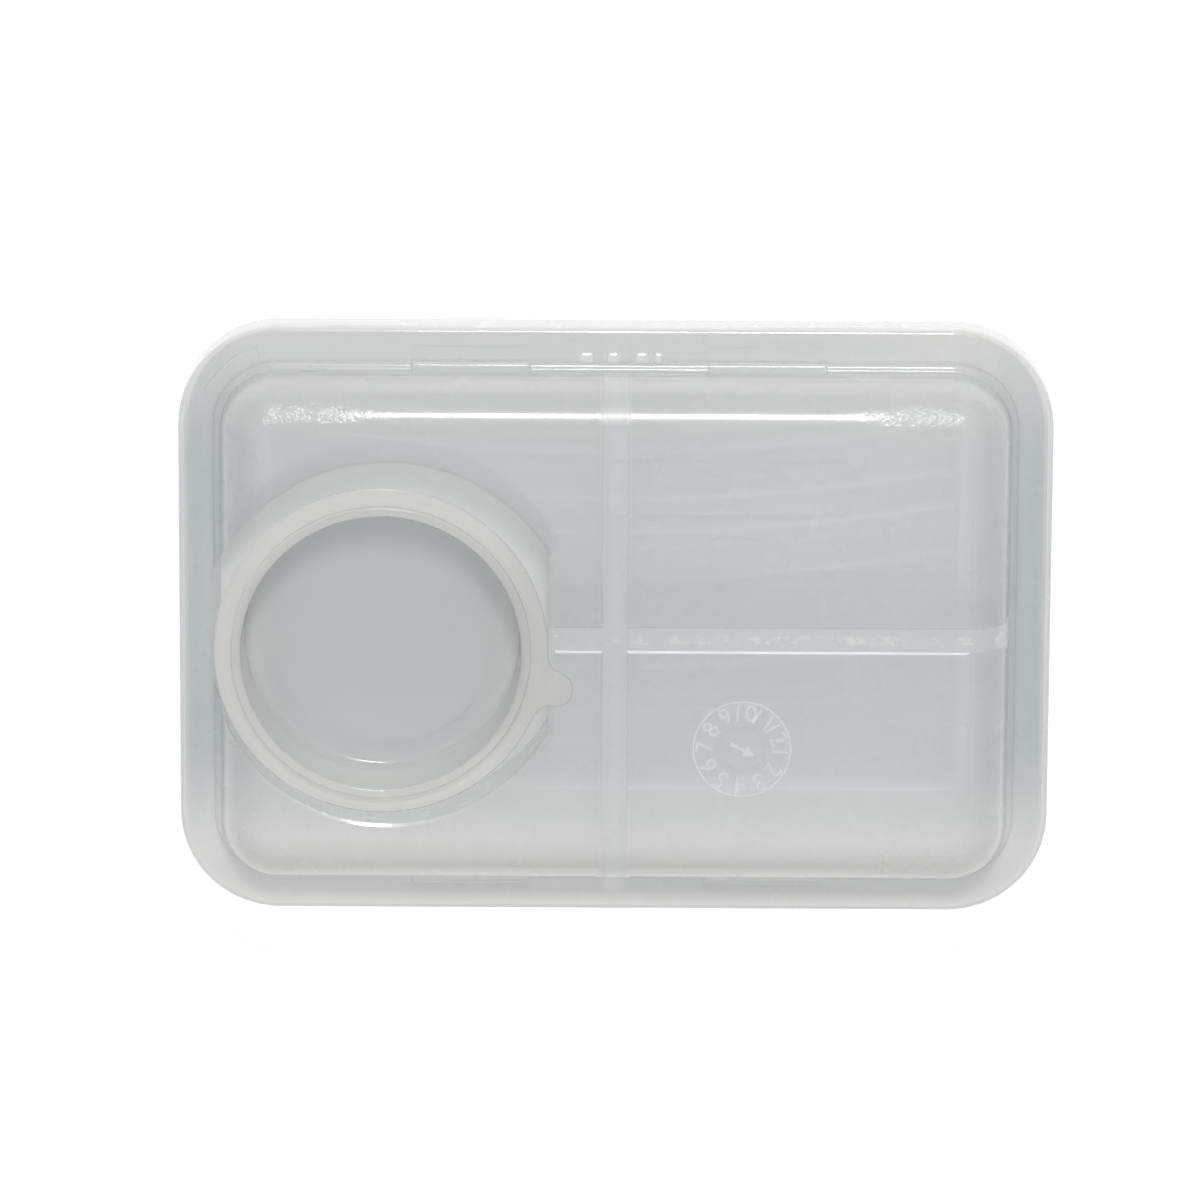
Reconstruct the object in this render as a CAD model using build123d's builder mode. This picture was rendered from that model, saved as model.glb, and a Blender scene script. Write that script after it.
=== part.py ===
from build123d import *
import math
import os

# Compartment lunch box: a base container with crossed dividers, a domed lid with matching
# dividers, and an open sauce cup that sits in a round pocket in the lid.
# +X runs along the long side, +Z is up. The origin is under the middle of the base, on the table.

# Overall, millimetres
length = 180.0
width = 123.6
corner_radius = 20.7
wall = 1.2

# Base container
rim_height = 38.0
base_draft = 12.0
base_top_inset = 5.5
base_bottom_fillet = 5.0
skirt_clearance = 0.6
rim_thickness = 1.4
rim_lip_height = 5.0
floor_thickness = 1.4
divider_root = 3.6
divider_crest = 2.0
divider_gap = 0.4

# Lid
skirt_height = 9.0
flange_width = 8.7
side_flange_width = 8.5
foot_radius = 12.0
dome_height = 15.4
dome_draft = 3.0
dome_fillet = 10.0
flange_edge_fillet = 1.1
foot_step_width = 1.5
foot_step_height = 1.4
foot_step_fillet = 0.9
foot_junction_fillet = 0.6
rib_root = 4.8
rib_crest = 3.2
snap_bead_length = 30.0
snap_bead_size = 0.3
snap_bead_height = 1.2

# Lugs beside the dome, two on each long side, each on a thin pad
lug_length = 24.5
lug_depth = 2.0
lug_height = 3.4
lug_fillet = 0.8
lug_overlap = 1.0
lug_places = (-29.7, 31.0)
pad_depth = 4.7
pad_height = 0.3

# Raised corner strip where the lid is peeled open
peel_radius = 16.8
peel_start = 105.0
peel_end = 154.0
peel_height = 0.7
peel_fillet = 0.5

# Pocket for the cup
pocket_radius = 38.1
pocket_x = -46.7
pocket_y = -1.3
pocket_flat_x = -13.5
pocket_edge_depth = 0.3
pocket_edge_slope = 23.0

# Moulded marks on the panel
mark_relief = 0.25
mark_line = 0.6
plate_length = 50.5
plate_width = 12.0
plate_radius = 3.0
plate_x = 23.4
plate_y = 31.8
gate_length = 11.5
gate_width = 10.4
gate_corner = 2.5
gate_x = 24.5
gate_y = 16.4
sink_depth = 0.2
sink_slope = 23.0
dial_hub_radius = 5.0
dial_x = 26.2
dial_y = -23.1

# Sauce cup
cup_x = -47.9
cup_y = -2.5
cup_rim_radius = 34.2
cup_step_radius = 30.7
cup_mouth_radius = 28.8
cup_floor_radius = 28.2
cup_wall = 1.0
cup_foot_height = 1.0
cup_foot_radius = 25.0
cup_foot_width = 1.2
cup_rim_thickness = 0.8
cup_rim_gap = 0.2
cup_lip_height = 2.0
cup_fillet = 1.6
cup_edge_fillet = 0.3
cup_rim_fillet = 0.35
tab_reach = 40.2
tab_tip_radius = 3.6
tab_flare_radius = 4.0
tab_direction = -12.6

# How far from a stated place an edge or a face may lie to be picked by it
level_tolerance = 0.01

# Levels
flange_bottom = rim_height
flange_top = flange_bottom + wall
skirt_bottom = flange_top - skirt_height
step_level = flange_top + foot_step_height
panel_top = flange_top + dome_height
foot_length = length - 2 * flange_width
foot_width = width - 2 * side_flange_width
cup_rim_bottom = panel_top + cup_rim_gap
cup_rim_top = cup_rim_bottom + cup_rim_thickness
cup_lip_top = cup_rim_top + cup_lip_height
cup_floor_bottom = flange_top + cup_foot_height
cup_floor_top = cup_floor_bottom + cup_wall

os.makedirs("parts", exist_ok=True)


def drafted_block(size_x, size_y, radius, low, high, draft, rounding, rounded_end):
    """A rounded rectangle pulled up from low to high, drafted, with one end's edge rounded."""
    with BuildPart() as block:
        with BuildSketch(Plane.XY.offset(low)):
            RectangleRounded(size_x, size_y, radius)
        extrude(amount=high - low, taper=draft)
        end_face = block.faces().filter_by(Axis.Z).sort_by(Axis.Z)[rounded_end]
        fillet(end_face.edges(), rounding)
    return block.part


def long_rib(upright, half_length, low, high, low_width, high_width):
    """A rib with sloped sides, drawn on an upright plane and pulled the same way both sides."""
    with BuildPart() as rib:
        with BuildSketch(upright):
            with BuildLine():
                Polyline(
                    (-low_width / 2, low),
                    (low_width / 2, low),
                    (high_width / 2, high),
                    (-high_width / 2, high),
                    close=True,
                )
            make_face()
        extrude(amount=half_length, both=True)
    return rib.part


def pocket_prism(radius, flat_x, low, high, draft=0.0):
    """The pocket's round outline, cut straight on the side towards the middle of the lid."""
    with BuildPart() as prism:
        with BuildSketch(Plane.XY.offset(low)):
            with Locations((pocket_x, pocket_y)):
                Circle(radius)
            with Locations((flat_x + length / 2, 0)):
                Rectangle(length, width, mode=Mode.SUBTRACT)
        extrude(amount=high - low, taper=draft)
    return prism.part


def face_at(builder, level):
    """The flat horizontal face that lies at the given level."""
    flat_faces = builder.faces().filter_by(Axis.Z)
    return flat_faces.filter_by_position(
        Axis.Z, level - level_tolerance, level + level_tolerance
    )[0]


# Base container: a drafted tub, its rim, and crossed dividers
base_slope = math.tan(math.radians(base_draft))
base_length = length - 2 * base_top_inset
base_width = width - 2 * base_top_inset
base_radius = corner_radius - base_top_inset
base_spread = rim_height * base_slope
inside_spread = (rim_height - floor_thickness) * base_slope
rim_length = length - 2 * (wall + skirt_clearance)
rim_width = width - 2 * (wall + skirt_clearance)
rim_radius = corner_radius - wall - skirt_clearance
divider_top = rim_height - divider_gap

base_outside = drafted_block(
    base_length - 2 * base_spread,
    base_width - 2 * base_spread,
    base_radius - base_spread,
    0,
    rim_height,
    -base_draft,
    base_bottom_fillet,
    0,
)
base_inside = drafted_block(
    base_length - 2 * (wall + inside_spread),
    base_width - 2 * (wall + inside_spread),
    base_radius - wall - inside_spread,
    floor_thickness,
    rim_height,
    -base_draft,
    base_bottom_fillet - wall,
    0,
)

with BuildPart() as base_dividers:
    add(long_rib(Plane.XZ, width / 2, 0, divider_top, divider_root, divider_crest))
    add(long_rib(Plane.YZ, length / 2, 0, divider_top, divider_root, divider_crest))
    add(base_outside, mode=Mode.INTERSECT)

with BuildPart() as base_container:
    add(base_outside)
    with BuildSketch(Plane.XY.offset(rim_height - rim_lip_height)):
        RectangleRounded(rim_length, rim_width, rim_radius)
        RectangleRounded(
            rim_length - 2 * wall, rim_width - 2 * wall, rim_radius - wall, mode=Mode.SUBTRACT
        )
    extrude(amount=rim_lip_height)
    with BuildSketch(Plane.XY.offset(rim_height - rim_thickness)):
        RectangleRounded(rim_length, rim_width, rim_radius)
    extrude(amount=rim_thickness)
    add(base_inside, mode=Mode.SUBTRACT)
    add(base_dividers.part)

# Lid: the dome's outer and inner shapes, and the pocket's space and wall
dome_outside = drafted_block(
    foot_length, foot_width, foot_radius, flange_top, panel_top, dome_draft, dome_fillet, -1
)
dome_inside = drafted_block(
    foot_length - 2 * wall,
    foot_width - 2 * wall,
    foot_radius - wall,
    flange_bottom,
    panel_top - wall,
    dome_draft,
    dome_fillet - wall,
    -1,
)
pocket_space = pocket_prism(pocket_radius, pocket_flat_x, flange_top, panel_top + wall)
pocket_jacket = pocket_prism(
    pocket_radius + wall, pocket_flat_x + wall, flange_bottom, panel_top + wall
)
pocket_flare = pocket_prism(
    pocket_radius,
    pocket_flat_x,
    panel_top - pocket_edge_depth,
    panel_top + pocket_edge_depth,
    pocket_edge_slope - 90,
)

with BuildPart() as dome_hollow:
    add(dome_inside)
    add(pocket_jacket, mode=Mode.SUBTRACT)

# The lid's dividers hang inside the hollow and stop level with the flange's underside
with BuildPart() as lid_dividers:
    add(long_rib(Plane.YZ, length / 2, flange_bottom, panel_top, rib_crest, rib_root))
    with Locations((pocket_flat_x - length / 2, 0, (flange_bottom + panel_top) / 2)):
        Box(length, width, 2 * dome_height, mode=Mode.SUBTRACT)
    add(long_rib(Plane.XZ, width / 2, flange_bottom, panel_top, rib_crest, rib_root))
    add(dome_inside, mode=Mode.INTERSECT)

# Where the dividers meet the panel, the outside sinks slightly, with sloped edges
sink_run = sink_depth / math.tan(math.radians(sink_slope))
sink_low = panel_top - sink_depth
sink_high = panel_top + sink_depth
with BuildPart() as sink_marks:
    add(long_rib(Plane.YZ, length / 2, sink_low, sink_high, rib_root, rib_root + 4 * sink_run))
    with Locations((pocket_flat_x + wall - length / 2, 0, panel_top)):
        Box(length, width, dome_height, mode=Mode.SUBTRACT)
    add(long_rib(Plane.XZ, width / 2, sink_low, sink_high, rib_root, rib_root + 4 * sink_run))

# The dome stands on a low rounded step, and a small fillet joins the two
with BuildPart() as stepped_dome:
    with BuildSketch(Plane.XY.offset(flange_top)):
        RectangleRounded(
            foot_length + 2 * foot_step_width,
            foot_width + 2 * foot_step_width,
            foot_radius + foot_step_width,
        )
    extrude(amount=foot_step_height)
    add(dome_outside)
    fillet(face_at(stepped_dome, step_level).inner_wires()[0].edges(), foot_junction_fillet)
    fillet(face_at(stepped_dome, step_level).outer_wire().edges(), foot_step_fillet)

# One lug with its thin pad, at the origin, its back sunk into the dome's foot towards -Y
with BuildPart() as lug:
    with BuildSketch(Plane.XY):
        with Locations((0, (lug_depth - lug_overlap) / 2)):
            Rectangle(lug_length, lug_depth + lug_overlap)
    extrude(amount=lug_height)
    fillet(lug.faces().sort_by(Axis.Z)[-1].edges(), lug_fillet)
    with BuildSketch(Plane.XY):
        with Locations((0, pad_depth / 2)):
            Rectangle(lug_length, pad_depth)
    extrude(amount=pad_height)

# Peel strip, concentric with the dome's corner, its outer edge rounded
with BuildPart() as peel_strip:
    peel_x = foot_radius - foot_length / 2
    peel_y = foot_width / 2 - foot_radius
    peel_sweep = peel_end - peel_start
    with BuildSketch(Plane.XY.offset(flange_top)):
        with BuildLine():
            outer_arc = CenterArc((peel_x, peel_y), peel_radius, peel_start, peel_sweep)
            inner_arc = CenterArc((peel_x, peel_y), foot_radius, peel_start, peel_sweep)
            Line(outer_arc @ 0, inner_arc @ 0)
            Line(outer_arc @ 1, inner_arc @ 1)
        make_face()
    extrude(amount=peel_height)
    fillet(peel_strip.faces().sort_by(Axis.Z)[-1].edges().sort_by(SortBy.LENGTH)[-1], peel_fillet)

with BuildPart() as lid:
    # Flange with its skirt
    with BuildSketch(Plane.XY.offset(skirt_bottom)):
        RectangleRounded(length, width, corner_radius)
    extrude(amount=skirt_height)
    fillet(lid.faces().sort_by(Axis.Z)[-1].edges(), flange_edge_fillet)
    with BuildSketch(Plane.XY.offset(skirt_bottom)):
        RectangleRounded(length - 2 * wall, width - 2 * wall, corner_radius - wall)
    extrude(amount=skirt_height - wall, mode=Mode.SUBTRACT)

    # Snap beads inside the skirt, under the base's rim lip
    for side in (-1, 1):
        bead_y = side * (width / 2 - wall - snap_bead_size / 2)
        with BuildSketch(Plane.XY.offset(skirt_bottom)):
            with Locations((-length / 4, bead_y), (length / 4, bead_y)):
                Rectangle(snap_bead_length, snap_bead_size)
        extrude(amount=snap_bead_height)

    # Dome on its foot step
    add(stepped_dome.part)

    # Lugs
    for place in lug_places:
        with Locations(
            Location((place, foot_width / 2, flange_top)),
            Location((place, -foot_width / 2, flange_top), (0, 0, 180)),
        ):
            add(lug.part)

    # Peel strip on one corner of the flange
    add(peel_strip.part)

    # Shallow sink marks over the dividers
    add(sink_marks.part, mode=Mode.SUBTRACT)

    # Pocket for the cup, open through the dome's end wall, its edge on the panel eased
    add(pocket_space, mode=Mode.SUBTRACT)
    add(pocket_flare, mode=Mode.SUBTRACT)

    # Moulded marks on the panel: an empty plate, the hub of the date dial and the gate mark
    with BuildSketch(Plane.XY.offset(sink_low)):
        with Locations((plate_x, plate_y)):
            RectangleRounded(plate_length, plate_width, plate_radius)
            RectangleRounded(
                plate_length - 2 * mark_line,
                plate_width - 2 * mark_line,
                plate_radius - mark_line,
                mode=Mode.SUBTRACT,
            )
    extrude(amount=sink_depth + mark_relief)
    with BuildSketch(Plane.XY.offset(sink_low)):
        with Locations((dial_x, dial_y)):
            Circle(dial_hub_radius)
            Circle(dial_hub_radius - mark_line, mode=Mode.SUBTRACT)
    extrude(amount=sink_depth + mark_relief)
    with BuildSketch(Plane.XY.offset(sink_low)):
        with Locations((gate_x, gate_y)):
            RectangleRounded(gate_length, gate_width, gate_corner)
            RectangleRounded(
                gate_length - 2 * mark_line,
                gate_width - 2 * mark_line,
                gate_corner - mark_line,
                mode=Mode.SUBTRACT,
            )
    extrude(amount=sink_depth + mark_relief)

    # Hollow inside, then the dividers
    add(dome_hollow.part, mode=Mode.SUBTRACT)
    add(lid_dividers.part)

# Sauce cup, turned about its own axis, with the pull tab on its rim
with BuildPart() as sauce_cup:
    cup_wall_profile = [
        (0, cup_floor_bottom),
        (cup_foot_radius - cup_foot_width, cup_floor_bottom),
        (cup_foot_radius - cup_foot_width, flange_top),
        (cup_foot_radius, flange_top),
        (cup_foot_radius, cup_floor_bottom),
        (cup_floor_radius + cup_wall, cup_floor_bottom),
        (cup_mouth_radius + cup_wall, cup_rim_bottom),
        (cup_rim_radius, cup_rim_bottom),
        (cup_rim_radius, cup_rim_top),
        (cup_step_radius, cup_rim_top),
        (cup_step_radius, cup_lip_top),
        (cup_mouth_radius, cup_lip_top),
        (cup_floor_radius, cup_floor_top),
        (0, cup_floor_top),
    ]
    with BuildSketch(Plane((cup_x, cup_y, 0), x_dir=(1, 0, 0), z_dir=(0, -1, 0))):
        with BuildLine():
            Polyline(*cup_wall_profile, close=True)
        make_face()
    revolve(axis=Axis((cup_x, cup_y, 0), (0, 0, 1)))
    floor_corner = sauce_cup.edges().filter_by(GeomType.CIRCLE).group_by(Axis.Z)[2][-1]
    fillet(floor_corner, cup_fillet)

    lip_edges = sauce_cup.edges().filter_by(GeomType.CIRCLE).group_by(Axis.Z)[-1]
    fillet(lip_edges, cup_edge_fillet)

    # Pull tab, flared into the rim
    tab_angle = math.radians(tab_direction)
    tab_plane = Plane(
        origin=(cup_x, cup_y, cup_rim_bottom),
        x_dir=(math.cos(tab_angle), math.sin(tab_angle), 0),
        z_dir=(0, 0, 1),
    )
    with BuildSketch(tab_plane) as tab_sketch:
        Circle(cup_rim_radius)
        with Locations((tab_reach - tab_tip_radius, 0)):
            Circle(tab_tip_radius)
        fillet(tab_sketch.vertices().sort_by(Axis.X)[-2:], tab_flare_radius)
        Circle(cup_mouth_radius + cup_wall, mode=Mode.SUBTRACT)
    extrude(amount=cup_rim_thickness)
    rim_face = face_at(sauce_cup, cup_rim_top)
    fillet(rim_face.outer_wire().edges(), cup_rim_fillet)

parts = {
    "base_container": base_container,
    "lid": lid,
    "sauce_cup": sauce_cup,
}
for name, piece in parts.items():
    piece.part.label = name
    export_step(piece.part, f"parts/{name}.step")
    print(name, len(piece.part.solids()), piece.part.is_valid, round(piece.part.volume))
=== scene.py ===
import math

import bmesh
import bpy
from mathutils import Matrix, Vector


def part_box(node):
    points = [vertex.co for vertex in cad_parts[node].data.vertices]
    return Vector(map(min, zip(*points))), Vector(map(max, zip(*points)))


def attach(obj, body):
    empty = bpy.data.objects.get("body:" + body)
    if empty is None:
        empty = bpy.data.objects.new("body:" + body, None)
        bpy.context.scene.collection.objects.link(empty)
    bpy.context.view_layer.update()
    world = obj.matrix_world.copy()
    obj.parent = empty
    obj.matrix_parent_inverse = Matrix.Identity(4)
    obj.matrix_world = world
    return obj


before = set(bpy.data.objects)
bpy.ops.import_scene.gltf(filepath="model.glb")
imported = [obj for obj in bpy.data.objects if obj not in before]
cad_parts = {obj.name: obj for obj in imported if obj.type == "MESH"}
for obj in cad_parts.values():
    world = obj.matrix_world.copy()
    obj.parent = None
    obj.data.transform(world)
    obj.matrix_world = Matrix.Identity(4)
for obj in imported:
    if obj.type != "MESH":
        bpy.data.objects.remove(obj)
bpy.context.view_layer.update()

MM = 0.001

# Levels on the lid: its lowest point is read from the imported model, the steps above follow the CAD
lid_low, lid_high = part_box("lid")
SKIRT_HEIGHT = 9.0 * MM
FLANGE_TOP = lid_low.z + SKIRT_HEIGHT
PANEL_TOP = FLANGE_TOP + 15.4 * MM
CUP_FLOOR_TOP = FLANGE_TOP + 2.0 * MM

# Crossed ribs, and the row of painted highlight flecks on the one that runs to the right end
RIB_HALF_WIDTH = 2.2 * MM
RIB_FADE = 0.5 * MM
SINK_RUN = 0.8 * MM
LONG_RIB_START_X = -13.5 * MM
RIB_LOWEST_Z = FLANGE_TOP + 3 * MM
HIGHLIGHT_ROW_FADE = (1.2 * MM, 0.5 * MM)
HIGHLIGHT_FLECK_FADE = (0.5, 0.6)

# Pocket and cup
POCKET_CENTRE = (-46.7 * MM, -1.3 * MM)
POCKET_RADIUS = 38.1 * MM
POCKET_FADE = 0.3 * MM
POCKET_LEFT_X = -81.3 * MM
POCKET_RIGHT_X = -13.4 * MM
CUP_CENTRE = (-47.9 * MM, -2.5 * MM)
CUP_RIM_FADE = (28 * MM, 29.5 * MM)
CUP_SIDE_FADE = (20 * MM, 32 * MM)
CUP_WALL_FADE = (CUP_FLOOR_TOP, CUP_FLOOR_TOP + 2 * MM)
RING_TURNS = 2 * math.pi / (1.3 * MM)

# Where the lid's other zones start and where they are complete: painted shade at the ends, painted
# light along the front and back, and the rougher worn skin
FRONT_FADE_Y = (-22 * MM, -50 * MM)
BACK_FADE_Y = (34 * MM, 56 * MM)
END_FADE_X = (76 * MM, 81 * MM)
WORN_FADE_X = (42 * MM, 60 * MM)
WORN_TOP_FADE_Z = (PANEL_TOP - 0.1 * MM, PANEL_TOP - 0.3 * MM)
WORN_LOW_FADE_Z = (FLANGE_TOP + 8 * MM, FLANGE_TOP + 12 * MM)

# Each noise is its scale, detail and roughness
CLOUD_NOISE = (22, 3, 0.5)
PATCH_NOISE = (60, 4, 0.6)
PEEL_NOISE = (900, 2, 0.5)
COARSE_NOISE = (420, 3, 0.65)
HIGHLIGHT_FLECK_NOISE = (300, 3, 0.6)
NOISE_LOW = 0.3
NOISE_HIGH = 0.7

# The plastic
PLASTIC_IOR = 1.49
GLOW = 0.4
SHADOW_PASS = 0.85
WINDOW_COLOUR = (0.97, 0.975, 0.98)
ROUGHNESS_SPREAD = 0.1
POLISH_SHARPEST = 0.35
POLISH_DULLEST = 0.55
RIB_POLISH = 0.42
WORN_POLISH = 0.3
WORN_BUMP = 1.0
COARSE_MIDDLE = 0.4
COARSE_GAIN = 5.0
BUMP_DISTANCE = 0.1 * MM
COOL_LIGHT = (0.765, 0.776, 0.773)
COOL_DARK = (0.725, 0.741, 0.745)
CUP_LIGHT = (0.68, 0.692, 0.69)
CUP_DARK = (0.65, 0.663, 0.662)
MARK_LIGHT = (0.93, 0.94, 0.94)
MARK_DARK = (0.9, 0.91, 0.91)

# Moulded marks on the lid
MARK_HEIGHT = 0.22 * MM
DIAL_CENTRE = Vector((26.2 * MM, -23.1 * MM, PANEL_TOP + MARK_HEIGHT / 2))
DIAL_RADIUS = 10.0 * MM
RING_SECTION = [(-1, 0), (-0.7, 0.75), (0, 1), (0.7, 0.75), (1, 0)]
RING_HALF_WIDTH = 0.18 * MM
RING_HEIGHT = 0.06 * MM
RING_STEPS = 72
NUMBER_RADIUS = 7.5 * MM
NUMBER_SIZE = 5.3 * MM
NUMBER_THINNING = -0.02 * MM
FIRST_NUMBER_ANGLE = 356.5
NUMBER_STEP = 30
POINTER_ANGLE = -118
PIP_ROW_Y = 55.6 * MM
PIPS = ((-6.2, 3.4), (-0.6, 2.6), (5.2, 3.0), (8.6, 1.6))
PIP_SIZE_Y = 2.4 * MM
PIP_HEIGHT = 0.35 * MM
BEAD_STEPS = 20


# ---------------------------------------------------------------- node helpers
def new_material(name):
    material = bpy.data.materials.new(name)
    material.use_nodes = True
    material.node_tree.nodes.clear()
    return material, material.node_tree.nodes, material.node_tree.links


def feed(links, socket, value):
    """Links the socket to another socket, or sets it to a plain number or a colour."""
    if isinstance(value, bpy.types.NodeSocket):
        links.new(value, socket)
    elif isinstance(value, tuple):
        socket.default_value = (*value, 1)
    else:
        socket.default_value = value


def add_noise(nodes, links, coords, scale, detail, roughness):
    noise = nodes.new("ShaderNodeTexNoise")
    noise.inputs["Scale"].default_value = scale
    noise.inputs["Detail"].default_value = detail
    noise.inputs["Roughness"].default_value = roughness
    links.new(coords, noise.inputs["Vector"])
    return noise.outputs["Fac"]


def add_range(nodes, links, value, low, high):
    """Stretches the middle part of a noise from low to high."""
    spread = nodes.new("ShaderNodeMapRange")
    spread.inputs["From Min"].default_value = NOISE_LOW
    spread.inputs["From Max"].default_value = NOISE_HIGH
    spread.inputs["To Min"].default_value = low
    spread.inputs["To Max"].default_value = high
    links.new(value, spread.inputs["Value"])
    return spread.outputs["Result"]


def add_math(nodes, links, operation, first, second=0):
    """A Math node. Each input is a socket to link or a plain number."""
    node = nodes.new("ShaderNodeMath")
    node.operation = operation
    feed(links, node.inputs[0], first)
    feed(links, node.inputs[1], second)
    return node.outputs[0]


def add_fade(nodes, links, value, start, end):
    """0 at start, 1 at end, and a smooth rise between."""
    fade = nodes.new("ShaderNodeMapRange")
    fade.inputs["From Min"].default_value = start
    fade.inputs["From Max"].default_value = end
    fade.interpolation_type = "SMOOTHSTEP"
    links.new(value, fade.inputs["Value"])
    return fade.outputs["Result"]


def add_tint(nodes, links, amount, under, over):
    """The colour under, and as much of the colour over as the amount says."""
    mix = nodes.new("ShaderNodeMixRGB")
    links.new(amount, mix.inputs["Fac"])
    feed(links, mix.inputs["Color1"], under)
    feed(links, mix.inputs["Color2"], over)
    return mix.outputs["Color"]


def add_blend(nodes, links, amount, under, over):
    """The number under, moved towards the number over by the amount."""
    blend = nodes.new("ShaderNodeMapRange")
    blend.inputs["To Max"].default_value = over
    feed(links, blend.inputs["To Min"], under)
    links.new(amount, blend.inputs["Value"])
    return blend.outputs["Result"]


def mix_shaders(nodes, links, amount, under, over):
    """The shader node under, and as much of the shader node over as the amount says."""
    mix = nodes.new("ShaderNodeMixShader")
    feed(links, mix.inputs["Fac"], amount)
    links.new(under.outputs[0], mix.inputs[1])
    links.new(over.outputs[0], mix.inputs[2])
    return mix


# ---------------------------------------------------------------- translucent plastic
def rib_zone(nodes, links, axes, half_width=RIB_HALF_WIDTH):
    """1 over the two crossed ribs on top of the dome, where the plastic is thicker."""
    across_x = add_math(nodes, links, "ABSOLUTE", axes["X"])
    across_y = add_math(nodes, links, "ABSOLUTE", axes["Y"])
    along_y = add_fade(nodes, links, across_x, half_width + RIB_FADE, half_width)
    along_x = add_fade(nodes, links, across_y, half_width + RIB_FADE, half_width)
    past_pocket = add_math(nodes, links, "GREATER_THAN", axes["X"], LONG_RIB_START_X)
    right_part = add_math(nodes, links, "MULTIPLY", along_x, past_pocket)
    either = add_math(nodes, links, "MAXIMUM", along_y, right_part)
    on_dome = add_math(nodes, links, "GREATER_THAN", axes["Z"], RIB_LOWEST_Z)
    return add_math(nodes, links, "MULTIPLY", either, on_dome)


def sparkle_zone(nodes, links, axes):
    """Broken white flecks in a row along the middle of the rib that runs to the right end: painted
    highlight, in place of the glints along that rib.
    """
    place = nodes.new("ShaderNodeTexCoord")
    flecks = add_noise(nodes, links, place.outputs["Object"], *HIGHLIGHT_FLECK_NOISE)
    broken = add_fade(nodes, links, flecks, *HIGHLIGHT_FLECK_FADE)
    off_middle = add_math(nodes, links, "ABSOLUTE", axes["Y"])
    in_row = add_fade(nodes, links, off_middle, *HIGHLIGHT_ROW_FADE)
    row = add_math(nodes, links, "MULTIPLY", broken, in_row)
    return add_math(nodes, links, "MULTIPLY", row, rib_zone(nodes, links, axes))


def distance_from(nodes, links, axes, centre):
    """How far a point is from an upright line through the centre."""
    away_x = add_math(nodes, links, "SUBTRACT", axes["X"], centre[0])
    away_y = add_math(nodes, links, "SUBTRACT", axes["Y"], centre[1])
    square_x = add_math(nodes, links, "MULTIPLY", away_x, away_x)
    square_y = add_math(nodes, links, "MULTIPLY", away_y, away_y)
    return add_math(nodes, links, "SQRT", add_math(nodes, links, "ADD", square_x, square_y))


def turning_rings(nodes, links, axes):
    """Fine rings round the cup's axis on its rim and wall, as its mould was turned."""
    reach = distance_from(nodes, links, axes, CUP_CENTRE)
    wave = add_math(nodes, links, "SINE", add_math(nodes, links, "MULTIPLY", reach, RING_TURNS))
    on_rim = add_fade(nodes, links, reach, *CUP_RIM_FADE)
    return add_math(nodes, links, "MULTIPLY", wave, on_rim)


def pocket_zone(nodes, links, axes):
    """1 inside the cup's round pocket, painted lighter and less clear there: painted light that lifts
    the recess's shade, standing in for light guided in by the walls.
    """
    reach = distance_from(nodes, links, axes, POCKET_CENTRE)
    inside = add_fade(nodes, links, reach, POCKET_RADIUS + POCKET_FADE, POCKET_RADIUS - POCKET_FADE)
    before_flat = add_math(nodes, links, "LESS_THAN", axes["X"], POCKET_RIGHT_X)
    on_dome = add_math(nodes, links, "GREATER_THAN", axes["X"], POCKET_LEFT_X)
    between = add_math(nodes, links, "MULTIPLY", before_flat, on_dome)
    return add_math(nodes, links, "MULTIPLY", inside, between)


def front_zone(nodes, links, axes):
    """Rises towards the front long side, painted lighter and less clear there: painted light along
    the front edge.
    """
    return add_fade(nodes, links, axes["Y"], *FRONT_FADE_Y)


def back_zone(nodes, links, axes):
    """Rises towards the back long side, painted lighter and warmer there: painted light along the
    back edge.
    """
    return add_fade(nodes, links, axes["Y"], *BACK_FADE_Y)


def end_zone(nodes, links, axes):
    """1 on the two short ends outside the panel, painted greyer there: painted shade where less light
    reaches the ends.
    """
    away = add_math(nodes, links, "ABSOLUTE", axes["X"])
    return add_fade(nodes, links, away, *END_FADE_X)


def worn_zone(nodes, links, axes):
    """1 on the dome's sloped sides near both ends, where the moulded skin is rougher."""
    away = add_math(nodes, links, "ABSOLUTE", axes["X"])
    near_end = add_fade(nodes, links, away, *WORN_FADE_X)
    below_panel = add_fade(nodes, links, axes["Z"], *WORN_TOP_FADE_Z)
    above_wall = add_fade(nodes, links, axes["Z"], *WORN_LOW_FADE_Z)
    on_edge = add_math(nodes, links, "MULTIPLY", below_panel, above_wall)
    return add_math(nodes, links, "MULTIPLY", near_end, on_edge)


def cup_side_zone(nodes, links, axes):
    """Rises towards the cup's two sides along X, which are a little greyer."""
    from_centre = add_math(nodes, links, "SUBTRACT", axes["X"], CUP_CENTRE[0])
    away = add_math(nodes, links, "ABSOLUTE", from_centre)
    return add_fade(nodes, links, away, *CUP_SIDE_FADE)


def cup_wall_zone(nodes, links, axes):
    """1 on the cup's wall and rim, 0 on its thin floor."""
    return add_fade(nodes, links, axes["Z"], *CUP_WALL_FADE)


def rough_skin(nodes, links, coords, axes, wear, peel, peel_strength, shine):
    """Coarser relief where the skin is worn: the bump's height, its strength and the polish."""
    strength = add_blend(nodes, links, wear, peel_strength, WORN_BUMP)
    coarse = add_noise(nodes, links, coords, *COARSE_NOISE)
    centred = add_math(nodes, links, "SUBTRACT", coarse, COARSE_MIDDLE)
    relief = add_math(nodes, links, "MULTIPLY", centred, COARSE_GAIN)
    height = add_tint(nodes, links, wear, peel, relief)
    over_rib = rib_zone(nodes, links, axes, RIB_HALF_WIDTH + SINK_RUN)
    duller = add_blend(nodes, links, over_rib, shine, RIB_POLISH)
    return height, strength, add_blend(nodes, links, wear, duller, WORN_POLISH)


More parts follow.
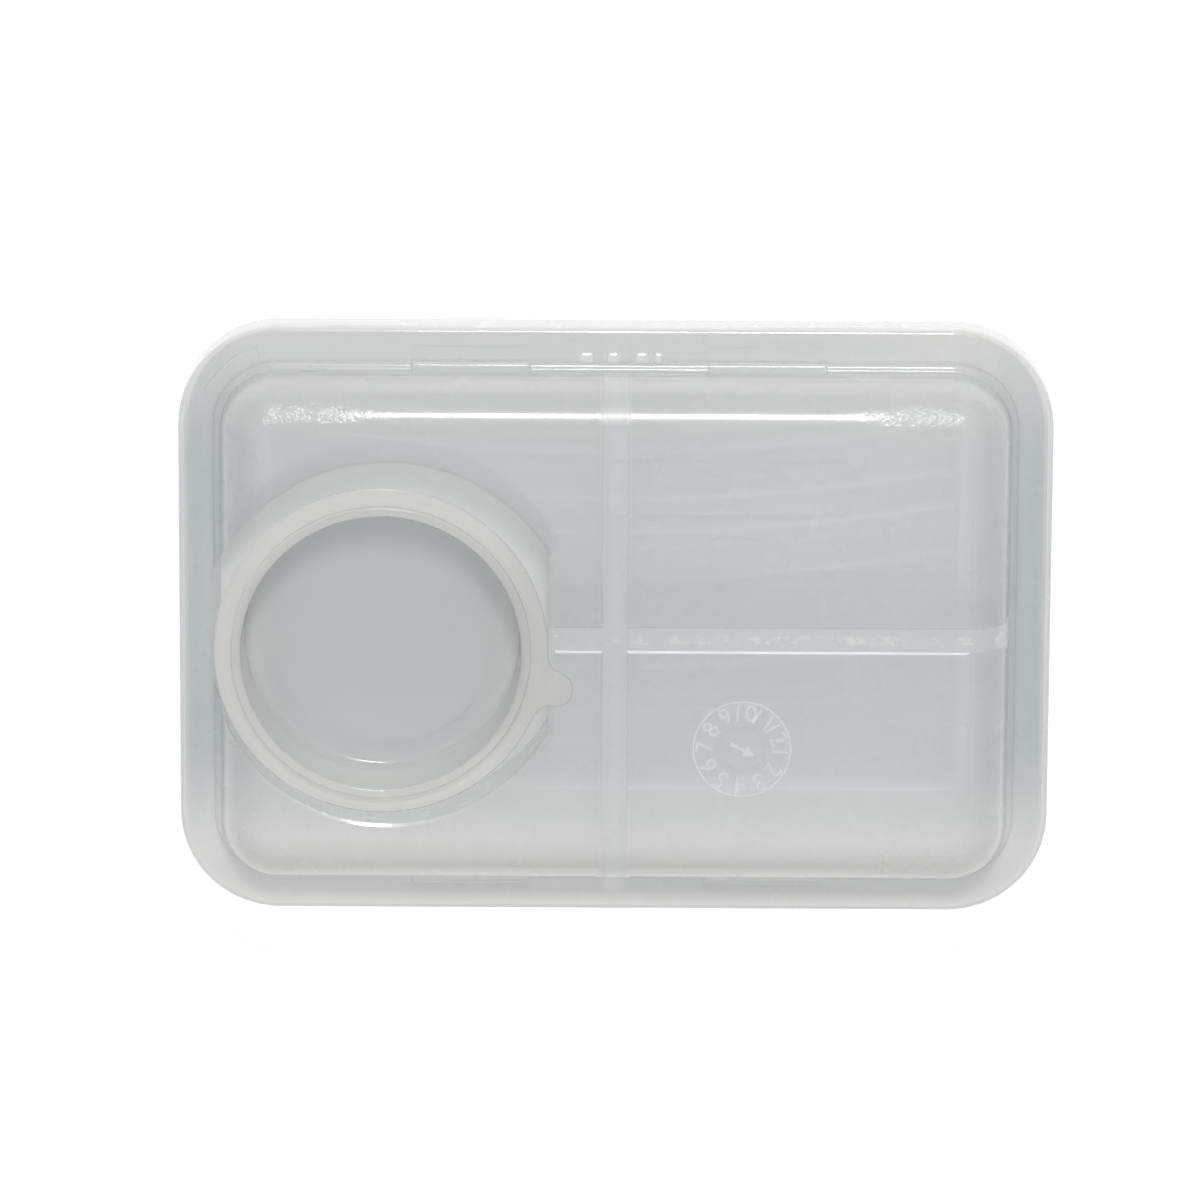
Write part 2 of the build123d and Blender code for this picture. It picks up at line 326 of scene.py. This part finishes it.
def milky_plastic(name, light, dark, clear, gloss, peel_strength, zones=(), worn=None, rings=None):
    """Natural polypropylene. It scatters light back, glows with light from behind and is partly
    see-through. Each zone is a mask function, a colour, a strength and how clear the zone is."""
    material, nodes, links = new_material(name)
    place = nodes.new("ShaderNodeTexCoord")
    coords = place.outputs["Object"]
    separate = nodes.new("ShaderNodeSeparateXYZ")
    links.new(coords, separate.inputs["Vector"])
    axes = separate.outputs

    cloud = add_noise(nodes, links, coords, *CLOUD_NOISE)
    colour = add_tint(nodes, links, add_range(nodes, links, cloud, 0, 1), light, dark)
    for zone, zone_colour, strength, zone_clear in zones:
        amount = add_math(nodes, links, "MULTIPLY", zone(nodes, links, axes), strength)
        colour = add_tint(nodes, links, amount, colour, zone_colour)
        clear = add_blend(nodes, links, amount, clear, zone_clear)
    rays = nodes.new("ShaderNodeLightPath")
    lit_through = add_math(nodes, links, "MULTIPLY", rays.outputs["Is Shadow Ray"], SHADOW_PASS)
    see_through = add_math(nodes, links, "MAXIMUM", clear, lit_through)

    patches = add_noise(nodes, links, coords, *PATCH_NOISE)
    roughness = add_range(nodes, links, patches, gloss, gloss + ROUGHNESS_SPREAD)
    shine = add_range(nodes, links, patches, gloss * POLISH_SHARPEST, gloss * POLISH_DULLEST)
    height = add_noise(nodes, links, coords, *PEEL_NOISE)
    strength = peel_strength
    if worn:
        wear = worn(nodes, links, axes)
        height, strength, shine = rough_skin(
            nodes, links, coords, axes, wear, height, peel_strength, shine
        )
    if rings:
        height = add_math(nodes, links, "ADD", height, rings(nodes, links, axes))
    bump = nodes.new("ShaderNodeBump")
    bump.inputs["Distance"].default_value = BUMP_DISTANCE
    feed(links, bump.inputs["Strength"], strength)
    links.new(height, bump.inputs["Height"])

    skin = nodes.new("ShaderNodeBsdfPrincipled")
    skin.inputs["IOR"].default_value = PLASTIC_IOR
    links.new(colour, skin.inputs["Base Color"])
    links.new(roughness, skin.inputs["Roughness"])
    links.new(bump.outputs["Normal"], skin.inputs["Normal"])
    through = nodes.new("ShaderNodeBsdfTranslucent")
    links.new(colour, through.inputs["Color"])
    window = nodes.new("ShaderNodeBsdfTransparent")
    feed(links, window.inputs["Color"], WINDOW_COLOUR)
    polish = nodes.new("ShaderNodeBsdfGlossy")
    links.new(shine, polish.inputs["Roughness"])
    links.new(bump.outputs["Normal"], polish.inputs["Normal"])

    edge_on = nodes.new("ShaderNodeFresnel")
    edge_on.inputs["IOR"].default_value = PLASTIC_IOR
    side = nodes.new("ShaderNodeNewGeometry")
    outside = add_math(nodes, links, "SUBTRACT", 1, side.outputs["Backfacing"])
    mirror = add_math(nodes, links, "MULTIPLY", edge_on.outputs["Fac"], outside)
    milk = mix_shaders(nodes, links, GLOW, skin, through)
    haze = mix_shaders(nodes, links, see_through, milk, window)
    coat = mix_shaders(nodes, links, mirror, haze, polish)
    output = nodes.new("ShaderNodeOutputMaterial")
    links.new(coat.outputs["Shader"], output.inputs["Surface"])
    return material


lid_zones = [
    # painted shade on the two short ends
    (end_zone, (0.65, 0.67, 0.678), 1.0, 0.5),
    # painted light along the back edge
    (back_zone, (0.86, 0.845, 0.815), 0.6, 0.4),
    # painted light along the front edge
    (front_zone, (0.91, 0.905, 0.89), 1.0, 0.25),
    # painted light inside the cup's pocket
    (pocket_zone, (0.86, 0.86, 0.85), 1.0, 0.3),
    (rib_zone, (0.87, 0.88, 0.88), 0.8, 0.25),
    # painted highlight flecks along the long rib
    (sparkle_zone, (0.97, 0.97, 0.96), 0.8, 0.05),
]
cup_zones = [
    (cup_wall_zone, (0.885, 0.885, 0.87), 1.0, 0.27),
    (cup_side_zone, (0.8, 0.798, 0.78), 0.8, 0.3),
]
finishes = {
    "lid": milky_plastic(
        "lid_plastic", COOL_LIGHT, COOL_DARK, clear=0.5, gloss=0.22, peel_strength=0.12,
        zones=lid_zones, worn=worn_zone,
    ),
    "base_container": milky_plastic(
        "base_plastic", COOL_LIGHT, COOL_DARK, clear=0.5, gloss=0.6, peel_strength=0.12
    ),
    "sauce_cup": milky_plastic(
        "cup_plastic", CUP_LIGHT, CUP_DARK, clear=0.5, gloss=0.28, peel_strength=0.25,
        zones=cup_zones, rings=turning_rings,
    ),
}
for node, material in finishes.items():
    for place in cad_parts[node].material_slots:
        place.material = material


# ---------------------------------------------------------------- moulded marks on the lid
def mark_from_mesh(name, build, material):
    """A small raised mark: its mesh is built by a function of a bmesh, and it rides on the lid."""
    shape = bmesh.new()
    build(shape)
    bmesh.ops.recalc_face_normals(shape, faces=shape.faces)
    mesh = bpy.data.meshes.new(name)
    shape.to_mesh(mesh)
    shape.free()
    mesh.materials.append(material)
    mark = bpy.data.objects.new(name, mesh)
    bpy.context.collection.objects.link(mark)
    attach(mark, "lid")


def add_dial_ring(shape):
    """A low ring with a rounded back, as an engraved circle in a mould leaves it."""
    loops = []
    for step in range(RING_STEPS):
        angle = 2 * math.pi * step / RING_STEPS
        loop = []
        for across, up in RING_SECTION:
            radius = DIAL_RADIUS + across * RING_HALF_WIDTH
            x = DIAL_CENTRE.x + radius * math.cos(angle)
            y = DIAL_CENTRE.y + radius * math.sin(angle)
            loop.append(shape.verts.new((x, y, PANEL_TOP + up * RING_HEIGHT)))
        loops.append(loop)
    for step in range(RING_STEPS):
        here, after = loops[step], loops[(step + 1) % RING_STEPS]
        for corner in range(len(RING_SECTION)):
            other = (corner + 1) % len(RING_SECTION)
            shape.faces.new((here[corner], here[other], after[other], after[corner]))


def add_bead(shape, centre, size_x, size_y, low, high):
    """A low pad with sloped sides and rounded corners."""
    rings = []
    for level, shrink in ((low, 1.0), ((low + high * 2) / 3, 0.88), (high, 0.62)):
        ring = []
        for step in range(BEAD_STEPS):
            angle = 2 * math.pi * step / BEAD_STEPS
            corner_x = math.copysign(abs(math.cos(angle)) ** 0.5, math.cos(angle))
            corner_y = math.copysign(abs(math.sin(angle)) ** 0.5, math.sin(angle))
            x = centre[0] + corner_x * shrink * size_x / 2
            y = centre[1] + corner_y * shrink * size_y / 2
            ring.append(shape.verts.new((x, y, level)))
        rings.append(ring)
    for lower, upper in zip(rings, rings[1:]):
        for step in range(BEAD_STEPS):
            after = (step + 1) % BEAD_STEPS
            shape.faces.new((lower[step], lower[after], upper[after], upper[step]))
    shape.faces.new(list(reversed(rings[0])))
    shape.faces.new(rings[-1])


def dial_number(text, angle_degrees, material):
    """One number of the date dial, its top towards the outside, in a plain sans face."""
    letters = bpy.data.curves.new(f"dial_number_{text}", "FONT")
    letters.body = text
    letters.align_x = "CENTER"
    letters.align_y = "CENTER"
    letters.size = NUMBER_SIZE
    letters.extrude = MARK_HEIGHT / 2
    letters.offset = NUMBER_THINNING
    letters.resolution_u = 4
    number = bpy.data.objects.new(letters.name, letters)
    bpy.context.collection.objects.link(number)
    angle = math.radians(angle_degrees)
    outward = Vector((math.cos(angle), math.sin(angle), 0))
    place = Matrix.Translation(DIAL_CENTRE + outward * NUMBER_RADIUS)
    number.matrix_world = place @ Matrix.Rotation(angle - math.pi / 2, 4, "Z")
    number.data.materials.append(material)
    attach(number, "lid")


def add_pointer(shape):
    """A plain arrow in the hub of the dial."""
    low, high = PANEL_TOP, PANEL_TOP + MARK_HEIGHT
    half_shaft, half_head, tail, neck, tip = 0.35 * MM, 1.2 * MM, -2.6 * MM, 0.6 * MM, 3.0 * MM
    outline = [
        (-half_shaft, tail), (half_shaft, tail), (half_shaft, neck), (half_head, neck),
        (0, tip), (-half_head, neck), (-half_shaft, neck),
    ]
    turn = Matrix.Rotation(math.radians(POINTER_ANGLE), 2)
    corners = [turn @ Vector(point) + DIAL_CENTRE.xy for point in outline]
    lower = [shape.verts.new((*corner, low)) for corner in corners]
    upper = [shape.verts.new((*corner, high)) for corner in corners]
    shape.faces.new(list(reversed(lower)))
    shape.faces.new(upper)
    for step in range(len(corners)):
        after = (step + 1) % len(corners)
        shape.faces.new((lower[step], lower[after], upper[after], upper[step]))


def add_pips(shape):
    """Four plain pips in a row on the flange, between the two lugs at the back."""
    for x, size_x in PIPS:
        centre = (x * MM, PIP_ROW_Y)
        add_bead(shape, centre, size_x * MM, PIP_SIZE_Y, FLANGE_TOP, FLANGE_TOP + PIP_HEIGHT)


mark_plastic = milky_plastic(
    "mark_plastic", MARK_LIGHT, MARK_DARK, clear=0.1, gloss=0.2, peel_strength=0.12
)
mark_from_mesh("dial_ring", add_dial_ring, mark_plastic)
for month in range(1, 13):
    dial_number(str(month), FIRST_NUMBER_ANGLE - NUMBER_STEP * (month - 1), mark_plastic)
mark_from_mesh("dial_pointer", add_pointer, mark_plastic)
mark_from_mesh("flange_pips", add_pips, mark_plastic)


# ---------------------------------------------------------------- floor, light, camera
def pale_floor():
    """A plain white sweep of floor that stays white under the soft light."""
    half = 3.0
    mesh = bpy.data.meshes.new("floor")
    corners = [(-half, -half, 0), (half, -half, 0), (half, half, 0), (-half, half, 0)]
    mesh.from_pydata(corners, [], [(0, 1, 2, 3)])
    floor = bpy.data.objects.new("floor", mesh)
    bpy.context.collection.objects.link(floor)
    material, nodes, links = new_material("floor_white")
    output = nodes.new("ShaderNodeOutputMaterial")
    shader = nodes.new("ShaderNodeBsdfPrincipled")
    shader.inputs["Base Color"].default_value = (0.9, 0.9, 0.9, 1)
    shader.inputs["Roughness"].default_value = 0.9
    shader.inputs["Emission Color"].default_value = (1, 1, 1, 1)
    shader.inputs["Emission Strength"].default_value = 0.56
    links.new(shader.outputs["BSDF"], output.inputs["Surface"])
    mesh.materials.append(material)


def aim(thing, place, target):
    thing.location = place
    thing.rotation_mode = "QUATERNION"
    thing.rotation_quaternion = (Vector(target) - Vector(place)).to_track_quat("-Z", "Y")


def soft_box(name, azimuth, from_vertical, distance, size, power, target):
    """A square soft box. Azimuth is measured from +X towards +Y, in degrees."""
    lamp = bpy.data.lights.new(name, "AREA")
    lamp.shape = "SQUARE"
    lamp.size = size
    lamp.energy = power
    box = bpy.data.objects.new(name, lamp)
    bpy.context.collection.objects.link(box)
    lean, turn = math.radians(from_vertical), math.radians(azimuth)
    reach = Vector((math.cos(turn) * math.sin(lean), math.sin(turn) * math.sin(lean), math.cos(lean)))
    aim(box, Vector(target) + reach * distance, target)


def studio_world(overhead, side):
    """Soft light from all round, brightest overhead and dimmest at the horizon."""
    world = bpy.data.worlds.new("studio")
    world.use_nodes = True
    nodes, links = world.node_tree.nodes, world.node_tree.links
    sky = nodes["Background"]
    sky.inputs["Color"].default_value = (1, 1, 1, 1)
    place = nodes.new("ShaderNodeTexCoord")
    axes = nodes.new("ShaderNodeSeparateXYZ")
    links.new(place.outputs["Generated"], axes.inputs["Vector"])
    height = nodes.new("ShaderNodeMapRange")
    height.inputs["From Min"].default_value = 0
    height.inputs["From Max"].default_value = 0.9
    height.inputs["To Min"].default_value = side
    height.inputs["To Max"].default_value = overhead
    links.new(axes.outputs["Z"], height.inputs["Value"])
    links.new(height.outputs["Result"], sky.inputs["Strength"])
    bpy.context.scene.world = world


def photo_camera(target, lean_degrees, roll_degrees, distance, lens):
    """Looks down on the lid, leaning towards +Y, with +Y at the top of the picture."""
    camera_data = bpy.data.cameras.new("camera")
    camera_data.lens = lens
    camera_data.sensor_width = 36
    camera_data.clip_start = 0.05
    camera_data.clip_end = 20
    camera = bpy.data.objects.new("camera", camera_data)
    bpy.context.collection.objects.link(camera)
    lean = math.radians(lean_degrees)
    back = Vector((0, math.sin(lean), math.cos(lean)))
    up = Vector((0, math.cos(lean), -math.sin(lean)))
    right = up.cross(back)
    turn = Matrix((right, up, back)).transposed().to_4x4()
    roll = Matrix.Rotation(math.radians(roll_degrees), 4, "Z")
    camera.matrix_world = Matrix.Translation(Vector(target) + back * distance) @ turn @ roll
    bpy.context.scene.camera = camera


pale_floor()
studio_world(overhead=0.52, side=0.08)
lid_middle = (0, 0, lid_high.z)
soft_box(
    "key_light", azimuth=87, from_vertical=32.6, distance=2.0, size=0.25, power=17, target=lid_middle
)
camera_target = (-3.1 * MM, 2.3 * MM, lid_low.z)
photo_camera(camera_target, lean_degrees=14, roll_degrees=0.3, distance=1.75, lens=253)
bpy.context.scene.view_settings.view_transform = "Standard"
bpy.context.scene.cycles.transparent_max_bounces = 24
bpy.context.scene.cycles.diffuse_bounces = 8
bpy.context.scene.cycles.caustics_reflective = False
bpy.context.scene.cycles.caustics_refractive = False
bpy.context.scene.cycles.sample_clamp_indirect = 2.0
